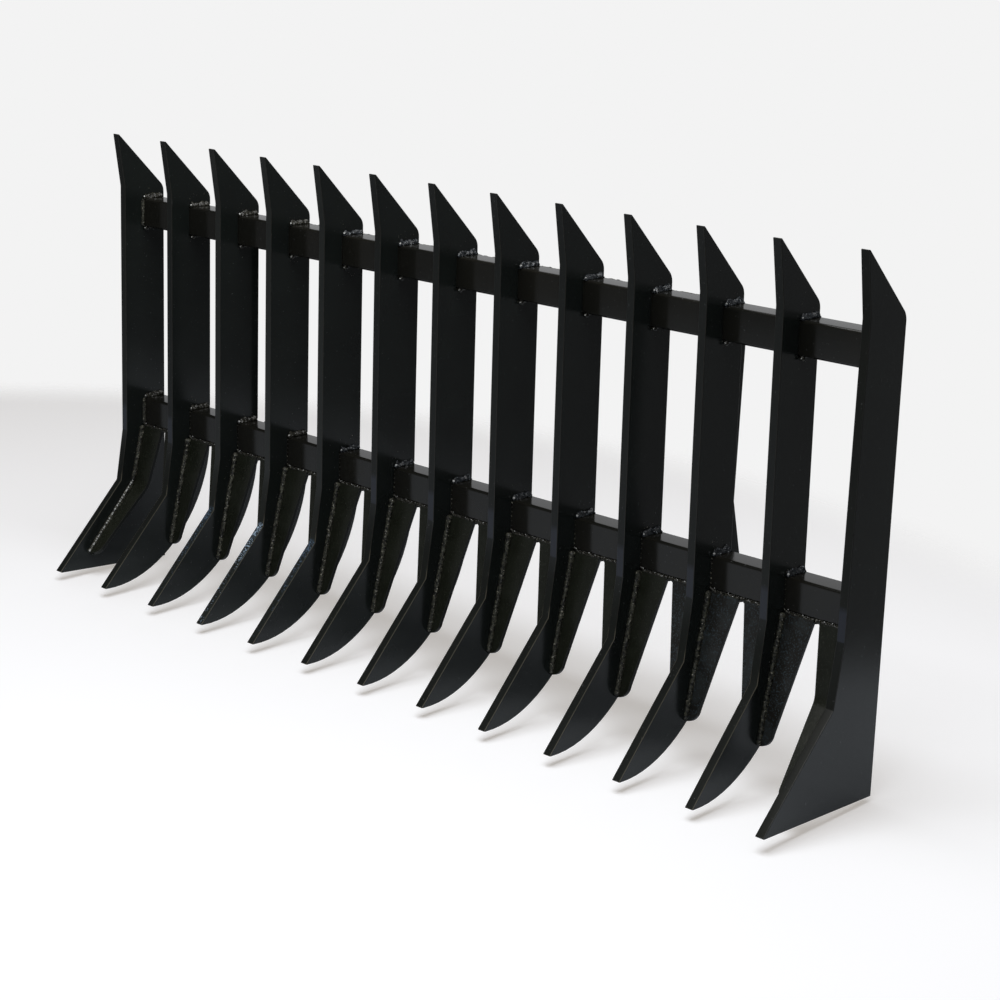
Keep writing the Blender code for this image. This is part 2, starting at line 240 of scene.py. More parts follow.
    def _chips(self, tree: bpy.types.NodeTree, place: Socket) -> Socket:
        """Find the spots of bare steel, thick at the upper height and thinning out towards the lower one.

        Args:
            tree: the material's node tree.
            place: the point on the rake.

        Returns:
            A socket that is 1 on bare steel and 0 on paint.
        """
        height = {"Value": add_node(tree, "ShaderNodeSeparateXYZ", links={0: place}).outputs["Z"]}
        thinned = ramp(self.chip_low, self.chip_high, -self.chip_thinning, 0.0)
        cut = ramp(self.chip_high, self.chip_high + self.chip_fade_mm * MM, 1.0, 0.0)
        grain = add_node(tree, "ShaderNodeTexNoise", lumps(self.chip_mm, 4.0), {"Vector": place})
        climb = add_node(tree, "ShaderNodeMapRange", thinned, height)
        level = add_node(tree, "ShaderNodeMath", links={0: grain.outputs[0], 1: climb.outputs[0]},
                         operation="ADD")
        spots = add_node(tree, "ShaderNodeMapRange", ramp(self.chip_from, self.chip_from + self.chip_soft),
                         {"Value": level.outputs[0]})
        below = add_node(tree, "ShaderNodeMapRange", cut, height)
        return add_node(tree, "ShaderNodeMath", links={0: spots.outputs[0], 1: below.outputs[0]},
                        operation="MULTIPLY").outputs[0]


class Finish(Enum):
    """The finishes on the rake, each one an enamel over a different ground."""

    # hot-rolled plate: mill scale under the paint leaves broad, faint glossy and dull patches
    PLATE = Enamel("enamel_on_rolled_plate", paint="#1b1e1d", haze="#1e2220")
    # torch-cut edges: faint lines across the thickness, duller and dustier than the faces
    EDGE = Enamel("enamel_on_cut_edge", paint="#161816", haze="#1a1c19", roughness=0.34, specular=0.20,
                  lines_mm=2.4, lines_depth_mm=0.05, speck_from=0.68, band_share=0.75)
    # the same edge where roots and stones have rubbed a shin down to bright steel below its knee
    WORN_EDGE = Enamel("worn_enamel_on_cut_edge", paint="#1a1d1a", haze="#1f211e", roughness=0.36,
                       specular=0.30, lines_mm=2.4, lines_depth_mm=0.05, chip="#9db1c4", chip_from=0.49,
                       chip_mm=3.2, chip_low=0.10, chip_high=0.192)
    # a shin that is only lightly rubbed
    RUBBED_EDGE = Enamel("rubbed_enamel_on_cut_edge", paint="#1a1d1a", haze="#1f211e", roughness=0.40,
                         specular=0.28, lines_mm=2.4, lines_depth_mm=0.05, chip="#54677b", chip_from=0.52,
                         chip_mm=3.2, chip_low=0.05, chip_high=0.192)
    # arrises: the paint pulls thin there, and on the toes it is rubbed down to a fine lighter line
    ARRIS = Enamel("thin_enamel_on_arris", paint="#1c1d1a", haze="#2b2a25", roughness=0.30, haze_mm=8.0,
                   band="#5e5a4e", band_share=0.65, band_low=-0.01, band_high=0.215)
    # arrises that nothing has rubbed
    SOUND_ARRIS = Enamel("thick_enamel_on_arris", paint="#191a18", haze="#23231f", roughness=0.30,
                         haze_mm=8.0)
    # the cut edge of the last plate: glossier paint, so less light spreads over it
    END_EDGE = Enamel("smooth_enamel_on_cut_edge", paint="#161815", haze="#1b1c18", roughness=0.30,
                      specular=0.13, lines_mm=2.4, lines_depth_mm=0.05, band_share=0.75)
    # drawn tube: smooth, slightly browner than the plate, with faint streaks along its length
    TUBE = Enamel("enamel_on_drawn_tube", paint="#191916", haze="#1e1d19", roughness=0.15,
                  roughness_spread=0.02, specular=0.27, peel_depth_mm=0.014, lines_mm=5.0,
                  lines_depth_mm=0.03)
    # gusset faces: browned by the weld smoke under the paint, and grainy
    GUSSET = Enamel("smoky_enamel_on_gusset", paint="#191b14", haze="#21231c", roughness=0.24, haze_mm=42.0,
                    specular=0.27, peel_mm=3.5, peel_depth_mm=0.05, speck="#2c2e26", speck_mm=2.4,
                    speck_from=0.60)
    # gussets near the right-hand end: bluish lighter patches and bluish specks on them are a painted
    # reflection of the sky and painted sparkle
    PAINTED_SHEEN_GUSSET = Enamel("gusset_enamel_with_painted_sheen", paint="#1e1d1a", haze="#292b2a", roughness=0.27, haze_mm=38.0,
                        haze_from=0.42, haze_full=0.66, specular=0.32, peel_mm=3.5, peel_depth_mm=0.07,
                        speck="#353e42", speck_mm=2.6, speck_from=0.56)
    # weld bead: smoky, rough between its ripples; its bright specks are painted glints
    BEAD = Enamel("enamel_on_weld_bead", paint="#121210", haze="#4a4a3f", roughness=0.32, haze_mm=4.5,
                  haze_from=0.38, haze_full=0.64, peel_mm=2.6, peel_depth_mm=0.40, speck="#a8a596",
                  speck_mm=3.0, speck_from=0.63)
    # weld fully covered with paint, so only its lumps catch the light; its pale specks are painted glints
    SEALED_BEAD = Enamel("thick_enamel_on_weld_bead", paint="#131311", haze="#313028", roughness=0.27,
                         haze_mm=5.0, peel_mm=3.2, peel_depth_mm=0.30, speck="#6e6a5d", speck_mm=3.0,
                         speck_from=0.66)
    # weld beads on the tubes' tops from tine_05 rightwards: blue-grey, with silver specks that are painted
    # glints
    GREY_BEAD = Enamel("grey_weld_bead_with_painted_glints", paint="#151719", haze="#33373b", roughness=0.26,
                       haze_mm=6.0, peel_mm=3.0, peel_depth_mm=0.50, speck="#a9b0b6", speck_mm=2.6,
                       speck_from=0.63)
    # drops painted near-white to stand for glints
    GLINT_DROP = Enamel("painted_glint_drop", paint="#a2a4a5", haze="#dcdcd7", roughness=0.20, haze_mm=3.0,
                         peel_mm=2.0, peel_depth_mm=0.20)


class PaintShop:
    """Makes each finish once and hands it out."""

    def __init__(self) -> None:
        """Start with no material made."""
        self._made: dict[Finish, bpy.types.Material] = {}

    def get(self, finish: Finish) -> bpy.types.Material:
        """Give the material of one finish, made the first time it is asked for.

        Args:
            finish: the finish.

        Returns:
            Its material.
        """
        if finish not in self._made:
            self._made[finish] = finish.value.build()
        return self._made[finish]


# ---- pieces -------------------------------------------------------------------------------------
def place_piece(obj: bpy.types.Object) -> bpy.types.Object:
    """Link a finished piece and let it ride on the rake.

    Args:
        obj: the piece, already where it belongs.

    Returns:
        The same piece.
    """
    bpy.context.scene.collection.objects.link(obj)
    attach(obj, BODY)
    return obj


@dataclass
class FineSolid:
    """A finer copy of one CAD solid: edges broken, faces sorted by how they were made."""

    node: str
    side: Finish                     # of the faces that look along X
    edge: Finish                     # of all the others
    arris: Finish = Finish.ARRIS     # of the broken edges
    break_mm: float = 1.1            # width of the broken edge
    merge_mm: float = 0.02
    flat_deg: float = 0.4            # faces that meet at less than this are one face
    sharp_deg: float = 35.0          # and edges sharper than this are broken
    smooth_deg: float = 40.0
    looks_along_x: float = 0.95      # the least X of a side face's normal

    def build(self, shop: PaintShop) -> bpy.types.Object:
        """Make the piece and hide its CAD node.

        Args:
            shop: gives the materials.

        Returns:
            The new piece.
        """
        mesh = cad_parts[self.node].data.copy()
        mesh.materials.clear()
        for finish in (self.side, self.edge, self.arris):
            mesh.materials.append(shop.get(finish))
        bm = bmesh.new()
        bm.from_mesh(mesh)
        bmesh.ops.remove_doubles(bm, verts=bm.verts, dist=self.merge_mm * MM)
        flat, limit = math.radians(self.flat_deg), math.radians(self.sharp_deg)
        bmesh.ops.dissolve_limit(bm, angle_limit=flat, verts=bm.verts, edges=bm.edges)
        for f in bm.faces:
            f.material_index = 0 if abs(f.normal.x) > self.looks_along_x else 1
            f.smooth = True
        sharp = [e for e in bm.edges if len(e.link_faces) == 2 and e.calc_face_angle() > limit]
        made = bmesh.ops.bevel(bm, geom=sharp, offset=self.break_mm * MM, segments=2, profile=0.5,
                               affect="EDGES", clamp_overlap=True, material=2)
        for f in made["faces"]:
            f.smooth = True
        bm.to_mesh(mesh)
        bm.free()
        mesh.set_sharp_from_angle(angle=math.radians(self.smooth_deg))
        obj = bpy.data.objects.new(self.node + "_painted", mesh)
        weighted = obj.modifiers.new("flat faces", "WEIGHTED_NORMAL")
        weighted.keep_sharp = True
        place_piece(obj)
        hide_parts(self.node)
        return obj


@dataclass
class BeadShape:
    """Size and texture of a weld bead."""

    leg_mm: float = 9.0              # how far it reaches along each of the two plates
    crown_mm: float = 1.6            # how far its middle stands out
    root_mm: float = 0.9             # how far its root sinks into the corner
    ripple_mm: float = 5.0           # from one ripple to the next, the real 2 mm drawn coarser to show
    ripple_depth_mm: float = 1.5
    ripple_lead: float = 0.55        # how far a ripple's middle runs ahead of its sides, in ripples
    wander_mm: float = 1.0           # unevenness of its edges
    grit_mm: float = 0.8             # height of its small lumps
    grit_per_m: float = 420.0
    uneven: float = 0.16             # how much its size varies along it, as a share
    taper: float = 0.0               # how much bigger it is at the end of its path, as a share
    end_ripples: float = 1.2         # it rounds off over this many ripples at each end ...
    end_size: float = 0.25           # ... down to this share of its size
    swell_ripples: float = 2.0       # a swell at its start fades over this many
    across: int = 6                  # faces across the bead
    per_ripple: int = 5              # rings in one ripple


class WeldMesh:
    """Collects the beads and spatter of one sub-assembly into one mesh."""

    ROD_SIDES = 8
    OFF_AXIS = Vector((0.31, 0.87, 0.39))        # a direction that no run of weld takes
    FLATNESS = 0.45                              # how much of its height a drop on a plate loses

    def __init__(self, name: str, slot: str, seed: int) -> None:
        """Start empty.

        Args:
            name: the piece's name.
            slot: not used.
            seed: makes this piece's unevenness its own.
        """
        self.name, self.slot, self.seed = name, slot, seed
        self.bm = bmesh.new()
        self.dice = random.Random(seed)

    def bead(self, path: list[Vector], along_a: Vector, along_b: Vector, shape: BeadShape,
             material: int = 0, swell: float = 0.0) -> None:
        """Lay one fillet bead into the corner between two plates.

        Args:
            path: the corner line, as points.
            along_a: direction in the first plate, away from the corner.
            along_b: direction in the second plate, away from the corner.
            shape: the bead's size and texture.
            material: the piece's material index.
            swell: extra size at the start of the path, as a share.
        """
        points = self._resample(path, shape.ripple_mm * MM / shape.per_ripple)
        total = len(points) - 1
        out = (along_a + along_b).normalized()
        rings = []
        for i, at in enumerate(points):
            run = i / shape.per_ripple
            end = min(i, total - i) / (shape.end_ripples * shape.per_ripple)
            size = math.sqrt(max(0.0, 1 - (1 - min(1.0, end)) ** 2)) * (1 - shape.end_size) + shape.end_size
            size *= 1 + swell * math.exp(-run / shape.swell_ripples) + shape.taper * i / total
            size *= 1 + shape.uneven * noise.noise(Vector((run * 0.45, self.seed, 0.0)))
            ring = [at - out * shape.root_mm * MM]
            for j in range(shape.across + 1):
                t = j / shape.across
                bow = math.sin(math.pi * t)
                lap = (run - shape.ripple_lead * bow) % 1.0
                grit = noise.noise(at * shape.grit_per_m + Vector((self.seed, t * 2.6, 0.0)))
                edge = shape.wander_mm * noise.noise(Vector((run * 0.8, t * 1.5, self.seed + 7.0)))
                rise = shape.crown_mm * bow + shape.ripple_depth_mm * (lap - 0.5) * (0.35 + 0.65 * bow)
                rise += shape.grit_mm * grit
                reach = (shape.leg_mm * size + edge) * MM
                p = at + along_a * reach * (1 - t) + along_b * reach * t
                ring.append(p + out * rise * size * MM)
            rings.append([self.bm.verts.new(p) for p in ring])
        self._skin(rings, material)

    def rod(self, path: list[Vector], radius_mm: float, material: int = 0, ripple_mm: float = 4.0,
            waves_mm: float = 0.6) -> None:
        """Lay a round, lumpy run of weld along a line.

        Args:
            path: its centre line.
            radius_mm: half its thickness.
            material: the piece's material index.
            ripple_mm: distance between lumps.
            waves_mm: how far it wanders.
        """
        per_ripple = 4
        points = self._resample(path, ripple_mm * MM / per_ripple)
        total = len(points) - 1
        rings = []
        for i, at in enumerate(points):
            ahead = (points[min(total, i + 1)] - points[max(0, i - 1)]).normalized()
            side = ahead.cross(self.OFF_AXIS).normalized()
            up = side.cross(ahead)
            end = min(i, total - i) / 3
            size = math.sqrt(max(0.03, 1 - (1 - min(1.0, end)) ** 2))
            lumps = 0.22 * math.sin(2 * math.pi * i / per_ripple)
            size *= 1 + lumps + 0.25 * noise.noise(Vector((i * 0.21, self.seed, 3.0)))
            drift = waves_mm * MM * noise.noise(Vector((i * 0.11, self.seed, 9.0)))
            ring = []
            for j in range(self.ROD_SIDES):
                a = 2 * math.pi * j / self.ROD_SIDES
                ring.append(at + (side * math.cos(a) + up * math.sin(a)) * radius_mm * MM * size + up * drift)
            rings.append([self.bm.verts.new(p) for p in ring])
        self._skin(rings, material)

    def drop(self, at: Vector, radius_mm: float, material: int = 0, flat: Vector | None = None) -> None:
        """Set a solidified drop of spatter.

        Args:
            at: its centre.
            radius_mm: its radius.
            material: the piece's material index.
            flat: the normal of the plate it is squashed on, or None for a round drop.
        """
        made = bmesh.ops.create_icosphere(self.bm, subdivisions=2, radius=radius_mm * MM)
        for v in made["verts"]:
            lump = 1 + 0.25 * noise.noise(v.co * 900 + Vector((self.seed, at.z * 40, at.x * 40)))
            v.co *= lump
            if flat is not None:
                v.co -= flat * v.co.dot(flat) * self.FLATNESS
            v.co += at
        for f in {f for v in made["verts"] for f in v.link_faces}:
            f.material_index = material
            f.smooth = True

    def spatter(self, corner: Vector, spread_a: Vector, spread_b: Vector, normal: Vector, count: int,
                size_mm: tuple[float, float] = (0.5, 1.3)) -> None:
        """Scatter small drops over a patch of plate, thicker near its corner.

        Args:
            corner: where they are thickest.
            spread_a: one side of the patch.
            spread_b: the other side of the patch.
            normal: the plate's outward normal.
            count: how many drops.
            size_mm: smallest and largest radius.
        """
        for _ in range(count):
            at = corner + spread_a * self.dice.random() ** 1.7 + spread_b * self.dice.random() ** 1.3
            radius = self.dice.uniform(*size_mm) * (0.6 + 0.4 * self.dice.random())
            self.drop(at + normal * radius * 0.1 * MM, radius, 0, normal)

    def finish(self, shop: PaintShop, *finishes: Finish) -> bpy.types.Object:
        """Turn what was laid into one piece.

        Args:
            shop: gives the materials.
            finishes: the finishes that the material indexes stand for.

        Returns:
            The new piece.
        """
        mesh = bpy.data.meshes.new(self.name)
        bmesh.ops.recalc_face_normals(self.bm, faces=self.bm.faces)
        self.bm.to_mesh(mesh)
        self.bm.free()
        for finish in finishes:
            mesh.materials.append(shop.get(finish))
        return place_piece(bpy.data.objects.new(self.name, mesh))

    def _skin(self, rings: list[list[bmesh.types.BMVert]], material: int) -> None:
        """Join rings of vertices into a closed skin.

        Args:
            rings: rings with equal numbers of vertices.
            material: the piece's material index.
        """
        count = len(rings[0])
        faces = [self.bm.faces.new(rings[0]), self.bm.faces.new(rings[-1])]
        for a, b in zip(rings, rings[1:]):
            for j in range(count):
                k = (j + 1) % count
                faces.append(self.bm.faces.new((a[j], a[k], b[k], b[j])))
        for f in faces:
            f.material_index = material
            f.smooth = True

    @staticmethod
    def _resample(path: list[Vector], step: float) -> list[Vector]:
        """Set points at even steps along a polyline.

        Args:
            path: its corners.
            step: about how far apart the points are.

        Returns:
            The points, both ends included.
        """
        lengths = [(b - a).length for a, b in zip(path, path[1:])]
        count = max(6, round(sum(lengths) / step))
        points, leg, start = [], 0, 0.0
        for i in range(count + 1):
            s = sum(lengths) * i / count
            while leg < len(lengths) - 1 and s > start + lengths[leg]:
                start += lengths[leg]
                leg += 1
            points.append(path[leg].lerp(path[leg + 1], (s - start) / lengths[leg]))
        return points


# ---- sub-assemblies -----------------------------------------------------------------------------
class Box:
    """A CAD node's box with its sides named."""

    def __init__(self, node: str) -> None:
        """Read the box from the frame.

        Args:
            node: the CAD node.
        """
        low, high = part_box(node)
        self.left, self.front, self.bottom = low
        self.right, self.rear, self.top = high


class Grid:
    """Names and faces of the upright plates, left to right."""

    PLATES = ["end_plate_left", *(f"tine_{k:02d}" for k in range(2, 13)), "end_plate_right"]
    # front edges that differ from the usual cut edge
    SHINS = {"tine_03": Finish.RUBBED_EDGE, "tine_04": Finish.WORN_EDGE, "tine_05": Finish.RUBBED_EDGE,
             "end_plate_right": Finish.END_EDGE}
    PAINTED_SHEEN_PLATES = ("tine_11", "tine_12")     # whose gussets carry the painted bluish reflection and sparkle

    def __init__(self) -> None:
        """Read the tubes' and plates' boxes."""
        self.upper, self.lower = Box("upper_tube"), Box("lower_tube")
        self.plates = {name: Box(name) for name in self.PLATES}

    @staticmethod
    def gusset_name(plate: str, side: int) -> str:
        """Name the gusset on one side of a plate.

        Args:
            plate: the plate's node.
            side: -1 for left and 1 for right.

        Returns:
            The gusset's node.
        """
        if plate.startswith("end_plate"):
            return plate.replace("plate", "gusset")
        return plate.replace("tine", "gusset") + ("_left" if side < 0 else "_right")

    def face_x(self, plate: str, side: int) -> float:
        """Give the X of a plate's left or right face."""
        box = self.plates[plate]
        return box.left if side < 0 else box.right

    def sides(self, plate: str) -> list[int]:
        """Give the sides of a plate that carry gussets and welds.

        Args:
            plate: the plate's node.

        Returns:
            -1 for left and 1 for right.
        """
        if plate == "end_plate_left":
            return [1]
        if plate == "end_plate_right":
            return [-1]
        return [-1, 1]


@dataclass
class PlateWork:
    """The upright plates, the gussets, the tubes and the hitch, each as a finer copy of its solid."""

    grid: Grid
    shop: PaintShop

    def build(self) -> None:
        """Make every solid piece."""
        for plate in self.grid.PLATES:
            edge = self.grid.SHINS.get(plate, Finish.EDGE)
            arris = Finish.SOUND_ARRIS if plate == "end_plate_right" else Finish.ARRIS
            FineSolid(plate, Finish.PLATE, edge, arris).build(self.shop)
            # the gussets by the last tines get a painted bluish reflection and sparkle
            front = Finish.PAINTED_SHEEN_GUSSET if plate in self.grid.PAINTED_SHEEN_PLATES else Finish.GUSSET
            for side in self.grid.sides(plate):
                gusset = self.grid.gusset_name(plate, side)
                FineSolid(gusset, Finish.EDGE, front, Finish.SOUND_ARRIS, break_mm=0.8).build(self.shop)
            log.info("plate %s with its gussets", plate)
        for tube in ("upper_tube", "lower_tube"):
            FineSolid(tube, Finish.TUBE, Finish.TUBE, break_mm=0.6).build(self.shop)
            log.info("tube %s", tube)
        for node in ("hitch_side_left", "hitch_side_right"):
            FineSolid(node, Finish.PLATE, Finish.EDGE, break_mm=0.8).build(self.shop)
        for node in ("hitch_lip", "hitch_shelf"):
            FineSolid(node, Finish.EDGE, Finish.PLATE).build(self.shop)
        log.info("hitch plates")


class Weld(IntEnum):
    """The material indexes of a plate's welds."""

    SMOKY = 0
    TOP = 1                          # on the tubes' top faces
    SEALED = 2
    # near-white drops painted as glints
    BRIGHT = 3


@dataclass
class TineWelds:
    """The beads that hold one side of one upright plate to the tubes and to its gusset."""

    grid: Grid
    shop: PaintShop
    plate: str
    side: int                        # -1 for left and 1 for right
    seed: int
    proud: float = 4 * MM            # a gusset's front face stands this far ahead of the tube
    bend_fall: float = 120 * MM      # an end gusset bends this far below the tube ...
    bend_lean: float = 26.2 * MM     # ... and this far forward of its top
    gusset_bead: BeadShape = field(default_factory=lambda: BeadShape(leg_mm=6.4, crown_mm=2.2))
    tube_bead: BeadShape = field(default_factory=lambda: BeadShape(
        leg_mm=7.2, crown_mm=0.8, wander_mm=4.2, grit_mm=1.8, taper=0.35))
    thin_bead: BeadShape = field(default_factory=lambda: BeadShape(leg_mm=4.6, crown_mm=1.2))
    rear_bead: BeadShape = field(default_factory=lambda: BeadShape(leg_mm=4.2, crown_mm=0.6, wander_mm=0.5))
    smoky_tops: tuple[str, ...] = ("end_plate_left", "tine_02", "tine_03", "tine_04")
    glint_drops: int = 34           # painted glints along the lower half of the left end gusset's bead
    tacks: int = 7
    # the seam's height over the tube's lower edge, from the plate outwards
    seam_mm: tuple[float, ...] = (5.5, 1.5, -1.5, 0.5, -2.5, -1.0, 0.8, -1.8, -0.5, 0.5)
    seam_radius_mm: float = 2.2
    root_radius_mm: float = 2.3      # of the straight run under the seam, which closes the joint

    def __post_init__(self) -> None:
        """Find the plate's face and start an empty mesh."""
        word = "left" if self.side < 0 else "right"
        name = f"welds_{self.plate}" if self.plate.startswith("end") else f"welds_{self.plate}_{word}"
        self.weld = WeldMesh(name, self.plate, self.seed)
        self.dice = self.weld.dice
        self.x = self.grid.face_x(self.plate, self.side)
        self.away = Vector((self.side, 0, 0))
        self.gusset = Box(self.grid.gusset_name(self.plate, self.side))
        self.upper, self.lower = self.grid.upper, self.grid.lower

    def build(self) -> bpy.types.Object:
        """Lay all the beads of this side as one piece.

        Returns:
            The new piece.
        """
        self._tube_tops()
        self._upper_underside()
        self._tube_rears()
        self._gusset_side()
        self._seam()
        if self.plate.startswith("end"):
            self._front_joints()
        else:
            self._tacks()
        self._spatter()
        top = Finish.SEALED_BEAD if self.plate in self.smoky_tops else Finish.GREY_BEAD
        return self.weld.finish(self.shop, Finish.BEAD, top, Finish.SEALED_BEAD, Finish.GLINT_DROP)

    def _at(self, y: float, z: float) -> Vector:
        """Give a point on the plate's face."""
        return Vector((self.x, y, z))

    def _glint(self, at: Vector, smallest_mm: float, largest_mm: float) -> None:
        """Set a drop painted near-white as a glint."""
        self.weld.drop(at, self.dice.uniform(smallest_mm, largest_mm), Weld.BRIGHT)

    def _tube_tops(self) -> None:
        """Lay a wide, uneven bead on each tube's top face, with a lump at its front end."""
        for tube in (self.upper, self.lower):
            path = [self._at(tube.front + 2.5 * MM, tube.top), self._at(tube.rear - 1.0 * MM, tube.top)]
            self.weld.bead(path, self.away, Vector((0, 0, 1)), self.tube_bead, Weld.TOP, swell=0.2)
            lump = path[0] + self.away * 3.5 * MM + Vector((0, -0.5, 2.0)) * MM
            self.weld.drop(lump, self.dice.uniform(3.4, 4.6), Weld.TOP)
            self._glint(lump + self.away * 1.5 * MM + Vector((0, -2.2, 2.2)) * MM, 1.4, 2.3)

    def _upper_underside(self) -> None:
        """Lay a bead under the upper tube that sags at its front end."""
        tube = self.upper
        path = [self._at(tube.front + 4.0 * MM, tube.bottom), self._at(tube.rear, tube.bottom)]
        self.weld.bead(path, self.away, Vector((0, 0, -1)), self.thin_bead, Weld.SEALED, swell=0.35)
        blob = path[0] + self.away * 5.5 * MM + Vector((0, 0, -2.4)) * MM
        self.weld.drop(blob, self.dice.uniform(4.4, 5.6), Weld.SEALED)
        self._glint(blob + Vector((self.side * 1.0, -4.4, 0.5)) * MM, 0.8, 1.3)

    def _tube_rears(self) -> None:
        """Lay upright beads where the tubes' rear faces meet the plate."""
        for tube in (self.upper, self.lower):
            path = [self._at(tube.rear, tube.top - 4 * MM), self._at(tube.rear, tube.bottom + 4 * MM)]
            self.weld.bead(path, self.away, Vector((0, 1, 0)), self.rear_bead)

    def _gusset_line(self) -> list[Vector]:
        """Find the corner between the plate and its gusset's front face, from the tube down.

        Returns:
            Two points, or five where an end gusset bends: the third is in the middle of the bend.
        """
        tube = self.lower
        top = self._at(tube.front - self.proud, tube.bottom - 1.0 * MM)
        end = self._at(self.gusset.front + 1.0 * MM, self.gusset.bottom + 3.0 * MM)
        if not self.plate.startswith("end"):
            return [top, end]
        bend = self._at(tube.front - self.proud - self.bend_lean, tube.bottom - self.bend_fall)
        before, after = bend.lerp(top, 0.12), bend.lerp(end, 0.09)
        middle = (before + after) / 4 + bend / 2
        return [top, before, middle, after, end]

    def _gusset_side(self) -> None:
        """Lay the long rope-like bead down the gusset, fuller at the top."""
        line = self._gusset_line()
        corners = [line[0], *line[2:3], line[-1]]
        for a, b in zip(corners, corners[1:]):
            run = (b - a).normalized()
            front = Vector((0, run.z, -run.y))
            if front.y > 0:
                front = -front
            leg = [p for p in line if a.z >= p.z >= b.z]
            swell = 0.45 if a is line[0] else 0.0
            self.weld.bead(leg, self.away, front, self.gusset_bead, Weld.SMOKY, swell)
        self._glint(line[0] + (self.away + Vector((0, -1, 0))) * 4.6 * MM + Vector((0, 0, -3)) * MM, 1.0, 1.8)
        if self.plate == "end_plate_left":
            self._glint_run(*corners[1:])

    def _glint_run(self, start: Vector, end: Vector) -> None:
        """Set drops painted near-white as glints along a bead.

        Args:
            start: the bead's start.
            end: its end.
        """
        front = Vector((0, (end - start).z, -(end - start).y)).normalized()
        for i in range(self.glint_drops):
            t = (i + self.dice.random()) / self.glint_drops
            at = start.lerp(end, t) + (self.away + front) * self.dice.uniform(4.6, 5.6) * MM
            self._glint(at, 1.0, 2.2)

    def _seam(self) -> None:
        """Lay the thin wavy bead along the tube's lower front edge, over the gusset's top."""
        tube = self.lower
        far = self.gusset.right if self.side > 0 else self.gusset.left
        y = tube.front - self.proud * 0.45
        path = []
        for i, height in enumerate(self.seam_mm):
            t = i / (len(self.seam_mm) - 1)
            wave = height + 1.4 * noise.noise(Vector((t * 3.1, self.seed, 5.0)))
            path.append(Vector((self.x + (far - self.x) * t, y, tube.bottom + wave * MM)))
        self.weld.rod(path, self.seam_radius_mm, Weld.SEALED, ripple_mm=6.0, waves_mm=2.4)
        reach = Vector((self.side * 3.0 * MM, 0, 0))
        root = self._at(tube.front + 2.5 * MM, tube.bottom + 0.3 * MM)
        ends = [root - reach, Vector((far, root.y, root.z)) + reach]
        self.weld.rod(ends, self.root_radius_mm, Weld.SEALED, waves_mm=0.0)
        for t in (0.12, 0.55, 0.8):
            at = path[0].lerp(path[-1], t + 0.1 * self.dice.random())
            self._glint(at + Vector((0, -1.6, self.dice.uniform(-1.0, 1.6))) * MM, 0.6, 1.1)

    def _front_joints(self) -> None:
        """Lay upright beads where the tubes' front faces meet an end plate."""
        for tube in (self.upper, self.lower):
            path = [self._at(tube.front, tube.top - 1 * MM), self._at(tube.front, tube.bottom + 1 * MM)]
            self.weld.bead(path, self.away, Vector((0, -1, 0)), self.thin_bead)

    def _tacks(self) -> None:
        """Set a chain of small drops down the joint between a tine and the lower tube's front face."""
        tube = self.lower
        for i in range(self.tacks):
            z = tube.top - (tube.top - tube.bottom) * (i + 0.6) / self.tacks
            at = self._at(tube.front, z) + self.away * self.dice.uniform(0.4, 1.4) * MM
            self.weld.drop(at, self.dice.uniform(0.8, 1.5))

    def _spatter(self) -> None:
        """Scatter drops on the plate around the welds: a corner, how far out and up, and how many."""
        low, up = self.lower, self.upper
        for y, z, out, rise, count in ((low.front, low.bottom, (0, -28, 0), (0, -20, -150), 16),
                                       (low.front, low.top, (0, 45, 0), (0, 0, 30), 8),
                                       (up.front, up.top, (0, 45, 0), (0, 0, 26), 7),
                                       (up.front, up.bottom, (0, 45, 0), (0, 0, -26), 5)):
            self.weld.spatter(self._at(y, z), Vector(out) * MM, Vector(rise) * MM, self.away, count)


@dataclass
class SeamWebs:
    """Small arches of weld that round the top of the gap between two neighbouring gussets."""

    grid: Grid
    shop: PaintShop
    radius_mm: float = 4.2
    sag: float = 5.0 * MM            # how much lower an arch's feet are than its middle
    steps: int = 8
    seed: int = 71

    def build(self) -> bpy.types.Object:
        """Lay one arch in every gap as one piece.

        Returns:
            The new piece.
        """
        weld = WeldMesh("welds_gusset_gaps", "lower_tube", self.seed)
        tube = self.grid.lower
        for left, right in zip(self.grid.PLATES, self.grid.PLATES[1:]):
            a = Box(self.grid.gusset_name(left, 1)).right
            b = Box(self.grid.gusset_name(right, -1)).left
            y = tube.front + 1.5 * MM
            path = []
            for i in range(self.steps + 1):
                t = i / self.steps
                z = tube.bottom - 0.5 * MM - self.sag * (2 * t - 1) ** 2
                path.append(Vector((a - 1.5 * MM + (b - a + 3 * MM) * t, y, z)))
            weld.rod(path, self.radius_mm, 0, ripple_mm=5.0)
        return weld.finish(self.shop, Finish.SEALED_BEAD)


